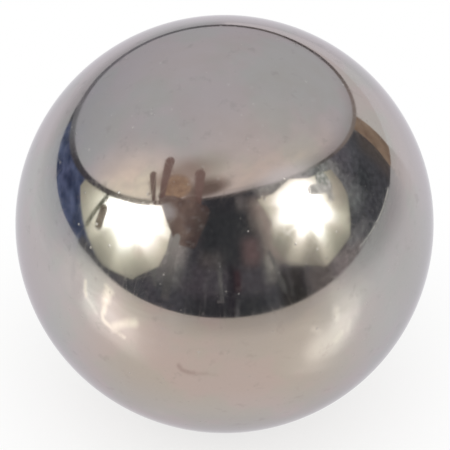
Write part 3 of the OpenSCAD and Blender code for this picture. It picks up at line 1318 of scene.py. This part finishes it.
# The number of each nudged corner, with how far it goes right and up in ball radii.
LEFT_MOVES = {
    0: (-2.8, -0.3), 1: (-4.4, 1.0), 2: (1.1, 0.5), 6: (1.8, -0.5),
    7: (-1.3, 1.5), 9: (-1.6, 0.8), 12: (-1.6, 0.3), 22: (-0.8, 0.0),
}
RIGHT_MOVES = {
    0: (-1.3, 0.9), 1: (0.1, 1.5), 2: (-1.4, -1.6), 3: (2.1, 2.6), 4: (-0.1, -2.7),
    5: (-4.2, -2.8), 7: (-0.5, 1.1), 9: (-0.5, 1.1), 14: (-2.0, -0.4),
    16: (1.5, -1.1), 18: (-0.2, -3.2), 20: (-2.8, -2.1), 24: (-0.6, 0.7),
}


def push_hub(canopy, hub):
    """Moves the canopy's hub sideways, by a share of the canopy's radius, and its cloth with it."""
    for corner in canopy.data.vertices:
        inward = 1 - math.hypot(corner.co.x, corner.co.y) / CANOPY_RADIUS
        if inward > MOVES_FROM:
            corner.co.x += hub[0] * inward * CANOPY_RADIUS
            corner.co.y += hub[1] * inward * CANOPY_RADIUS


def nudge_corners(canopy, moves):
    """Shifts single corners of the rim, by ball radii, where the cloth sits unevenly."""
    for number, (right, up) in moves.items():
        canopy.data.vertices[number].co.x += right * radius
        canopy.data.vertices[number].co.y += up * radius


push_hub(canopy, LEFT_HUB)
push_hub(second, RIGHT_HUB)
nudge_corners(canopy, LEFT_MOVES)
nudge_corners(second, RIGHT_MOVES)
print("corners nudged:", len(LEFT_MOVES), "on the left,", len(RIGHT_MOVES), "on the right")

# %% [markdown]
# ## Finding the place on a canopy
# The glow follows the ribs, so its material has to know where they are. Every point of a canopy
# lies on one straight line from the hub to the rim. This function finds how far along that line
# the point is, which takes a quadratic equation because the hub is off the middle, and at which
# angle round the rim the line ends.

# %% Canopy coordinates
def on_canopy(tree, flat, hub):
    """How far a point lies from the hub, 0, to the rim, 1, and at which share of a turn."""
    from_hub = vector_math(tree, "SUBTRACT", flat, (*hub, 0.0))
    x, y, _ = put(tree, "SeparateXYZ", {"Vector": from_hub}).outputs
    share = 1 - hub[0] ** 2 - hub[1] ** 2
    dot = calc(tree, "MULTIPLY_ADD", x, hub[0], calc(tree, "MULTIPLY", y, hub[1]))
    length_squared = calc(tree, "MULTIPLY_ADD", x, x, calc(tree, "MULTIPLY", y, y))
    under_root = calc(tree, "MULTIPLY_ADD", dot, dot, calc(tree, "MULTIPLY", length_squared, share))
    along = calc(tree, "DIVIDE", calc(tree, "ADD", dot, calc(tree, "SQRT", under_root)), share)
    rim_x = calc(tree, "MULTIPLY_ADD", along, hub[0], x)
    rim_y = calc(tree, "MULTIPLY_ADD", along, hub[1], y)
    turn = calc(tree, "MULTIPLY_ADD", calc(tree, "ARCTAN2", rim_y, rim_x), 0.5 / math.pi, 0.5)
    return along, turn


# %% [markdown]
# ## The glow in an umbrella
# The bulbs are far brighter than anything else in the room. Their light on the cloth falls off
# steeply, so the middle is pure white with no detail and the cloth fades through cream to a dull
# olive at the rim. Along a rib the cloth lies closer to the bulbs and the glow reaches further;
# just past the rib it drops back, because the next panel faces away. A curve of that reach against
# the angle round the canopy gives the uneven star. Its points are an angle in degrees and a share
# of the way from hub to rim.

# %% Umbrella glow
GLOW_NEAR = 0.83
GLOW_WIDE = 0.89
GLOW_MOST = 7.0
WHITE_HOT = rgba(1.0, 0.99, 0.93)
CREAM = rgba(1.0, 0.955, 0.79)
GLOW_STEEP = -4.0
GLOW_SLOW = -1.2
CANOPY_BLOTS = 2.6
CANOPY_UNEVEN = (0.93, 1.06)
WHITE_TO_CREAM = (0.7, 1.3)
LEFT_REACH = (
    (-180, 0.74), (-172, 0.82), (-163, 0.69), (-152, 0.70), (-140, 0.675), (-120, 0.49),
    (-104, 0.52), (-88, 0.545), (-68, 0.435), (-48, 0.43), (-34, 0.56), (-12, 0.57),
    (2, 0.55), (20, 0.43), (60, 0.50), (120, 0.60), (180, 0.74),
)
RIGHT_REACH = (
    (-180, 0.48), (-165, 0.54), (-150, 0.62), (-124, 0.465), (-98, 0.60), (-91, 0.52),
    (-84, 0.39), (-76, 0.365), (-46, 0.54), (-37, 0.52), (-30, 0.40), (-12, 0.42),
    (2, 0.56), (15, 0.70), (36, 0.66), (47, 0.82), (60, 0.80), (75, 0.74),
    (90, 0.74), (105, 0.70), (135, 0.64), (158, 0.55), (180, 0.48),
)


def reach_curve(tree, turn, points):
    """Looks up how far the glow reaches at this angle, on a smooth curve through the points."""
    node = put(tree, "FloatCurve", {"Value": turn})
    curve = node.mapping.curves[0]
    for angle, reach_here in points[1:-1]:
        curve.points.new((angle + 180) / 360, reach_here)
    curve.points[0].location = (0.0, points[0][1])
    curve.points[len(points) - 1].location = (1.0, points[-1][1])
    node.mapping.update()
    return node.outputs[0]


def umbrella_glow(name, hub, reach_points):
    """Cloth lit from inside: white at the hub, in an uneven star, then cream, then olive."""
    material, tree = empty_material(name)
    flat = object_place(tree, CANOPY_RADIUS)
    along, turn = on_canopy(tree, flat, hub)
    distance = calc(tree, "DIVIDE", along, reach_curve(tree, turn, reach_points))
    close_glow = calc(tree, "MULTIPLY", calc(tree, "POWER", distance, GLOW_STEEP), GLOW_NEAR)
    wide_glow = calc(tree, "POWER", distance, GLOW_SLOW)
    level = calc(tree, "MULTIPLY_ADD", wide_glow, GLOW_WIDE, close_glow)
    level = calc(tree, "MINIMUM", level, GLOW_MOST)
    mottle = remap(tree, blots(tree, flat, CANOPY_BLOTS), 0.0, 1.0, *CANOPY_UNEVEN)
    level = calc(tree, "MULTIPLY", level, mottle)
    colour = mixed(tree, remap(tree, distance, *WHITE_TO_CREAM), WHITE_HOT, CREAM)
    self_lit(tree, material, colour, level)
    print(f"{name}: {len(tree.nodes)} nodes, {len(reach_points)} points of reach")
    return material


def hang(canopy, place, spin, size, material):
    """Puts a canopy at its lamp, facing the ball."""
    canopy.location = spot(**place)
    face_ball(canopy, spin)
    canopy.scale = (size[0], size[1], 1.0)
    canopy.data.materials.clear()
    canopy.data.materials.append(material)
    only_mirrored(canopy)


left_glow = umbrella_glow("left_glow", LEFT_HUB, LEFT_REACH)
right_glow = umbrella_glow("right_glow", RIGHT_HUB, RIGHT_REACH)
hang(canopy, LEFT_LAMP, -22.0, (1.05, 1.19), left_glow)
hang(second, RIGHT_LAMP, 9.0, (1.0, 1.0), right_glow)

# %% [markdown]
# ## Brackets, legs and edges
# In front of each canopy the bracket that holds it cuts the glow as a short dark bar or two. Thin
# chair legs behind the camera give the dark room its few upright streaks, and a pale strip of wall
# shows just over the table's right end. All of them are straight poles, so one list says where
# each one starts and ends.

# %% Brackets and legs
# The grey paint's near-white patches are painted glints on the right bracket.
PAINTS = {
    "bracket_paint": {"dark": (0.15, 0.15, 0.12), "light": (0.33, 0.32, 0.24), "scale": 0.6},
    "rust": {"dark": (0.20, 0.160, 0.125), "light": (0.40, 0.330, 0.265), "scale": 0.7},
    "grey_paint_and_glints": {"dark": (0.33, 0.345, 0.325), "light": (1.0, 1.0, 0.96), "scale": 1.2,
                   "blurred": FACING_BALL},
    "leg_paint": {"dark": (0.11, 0.11, 0.115), "light": (0.24, 0.235, 0.23), "scale": 0.12},
    "pale_paint": {"dark": (0.62, 0.61, 0.60), "light": (0.85, 0.83, 0.80), "scale": 0.05},
}

# Each pole: its name, its foot and top as bearing, height and distance, its thickness, its paint.
POLES = (
    ("left_socket", (-77.4, 20.1, 24), (-75.0, 12.4, 24), 1.02, "rust"),
    ("left_shaft", (-80.6, 24.9, 24.6), (-81.4, 7.5, 24.6), 0.50, "bracket_paint"),
    ("right_hinge", (79.6, 38.8, 26), (77.6, 33.6, 26), 1.7, "grey_paint_and_glints"),
    ("right_socket", (67.8, 39.4, 26.6), (75.2, 35.4, 26.6), 1.3, "grey_paint_and_glints"),
    ("right_shaft", (77.4, 32.6, 25.5), (74.4, 28.6, 25.5), 0.75, "grey_paint_and_glints"),
    ("thin_leg", (-2.8, 21.0, 60), (-0.8, -3.5, 60), 0.9, "leg_paint"),
    ("right_leg", (25.8, 24.0, 60), (31.0, 0.0, 60), 0.8, "leg_paint"),
    ("left_leg", (-38.0, 12.0, 60), (-35.0, 1.0, 60), 0.9, "leg_paint"),
    ("pale_strip", (76.0, 0.2, 96), (108.0, 0.2, 96), 0.7, "pale_paint"),
)

paints = {name: cloth(name, **look) for name, look in PAINTS.items()}
for name, foot, top, thickness, paint in POLES:
    pole_between(name, spot(*foot), spot(*top), thickness, paints[paint])
print("poles:", len(POLES), "in", len(paints), "paints")

# %% [markdown]
# ## Blue cloth and brown door frame
# Two coloured things stand beyond the table. A blue cloth lies heaped to the left and shows as a
# thin blue crescent along the disc, and a brown door frame stands far to the right. Both are
# simple shapes, a flattened ball and a post, because all the steel keeps of them is a colour.

# %% Blue cloth and door frame
HEAP_PLACE = {"bearing": -111, "height": 0, "distance": 62}
HEAP_SIZE = Vector((40.5, 20.8, 17.7)) * radius
HEAP_TURN = 111
BLUE_WEAVE = {"dark": (0.040, 0.055, 0.112), "light": (0.165, 0.200, 0.345), "scale": 0.075,
              "blurred": (0.35, 0.95)}
POST_FOOT = (121.8, 70.0)
POST_TOP = {"bearing": 125.4, "height": 20.0, "distance": 74}
POST_THICKNESS = 5.3
BROWN_WOOD = {"dark": (0.27, 0.185, 0.140), "light": (0.43, 0.31, 0.235), "scale": 0.12}

clear_selection()
bpy.ops.mesh.primitive_uv_sphere_add(segments=48, ring_count=24, radius=1.0,
                                     location=spot(**HEAP_PLACE))
heap = bpy.context.object
heap.name = "blue_cloth"
heap.scale = HEAP_SIZE
heap.rotation_euler = (0, 0, math.radians(HEAP_TURN))
bpy.ops.object.shade_smooth()
only_mirrored(heap)
heap.data.materials.append(cloth("blue_weave", **BLUE_WEAVE))

wood = cloth("brown_wood", **BROWN_WOOD)
pole_between("door_frame", on_the_floor(*POST_FOOT), spot(**POST_TOP), POST_THICKNESS, wood)
print(f"blue_cloth: {len(heap.data.polygons)} faces")

# %% [markdown]
# ## The camera
# The ball is looked at from above its front, at forty-two degrees, through a long lens from a
# short step back, so the outline stays a true circle. Depth of field is off.

# %% Camera
BALL_PIXELS = 209.2
SENSOR_WIDTH = 36
SEEN_FROM, SEEN_TO = 0.01, 10

camera_data = bpy.data.cameras.new("camera")
camera = bpy.data.objects.new("camera", camera_data)
bpy.context.collection.objects.link(camera)
camera.location = spot(0, CAMERA_HEIGHT, CAMERA_DISTANCE)
picture_up = toward(180, 90 - CAMERA_HEIGHT)
picture_middle = (PICTURE_SIDE - 1) / 2
aim_right = (picture_middle - BALL_MIDDLE[0]) / BALL_PIXELS
aim_down = (picture_middle - BALL_MIDDLE[1]) / BALL_PIXELS
aim = centre + Vector((aim_right * radius, 0, 0)) - picture_up * aim_down * radius
camera.rotation_mode = "QUATERNION"
camera.rotation_quaternion = (aim - camera.location).to_track_quat("-Z", "Y")
ball_in_frame = BALL_PIXELS / (PICTURE_SIDE / 2)
half_view = math.tan(math.asin(1 / CAMERA_DISTANCE)) / ball_in_frame
camera_data.sensor_width = SENSOR_WIDTH
camera_data.lens = SENSOR_WIDTH / 2 / half_view
camera_data.clip_start = SEEN_FROM
camera_data.clip_end = SEEN_TO
bpy.context.scene.camera = camera
bpy.context.scene.view_settings.view_transform = "Standard"
print(f"lens {camera_data.lens:.0f} mm")
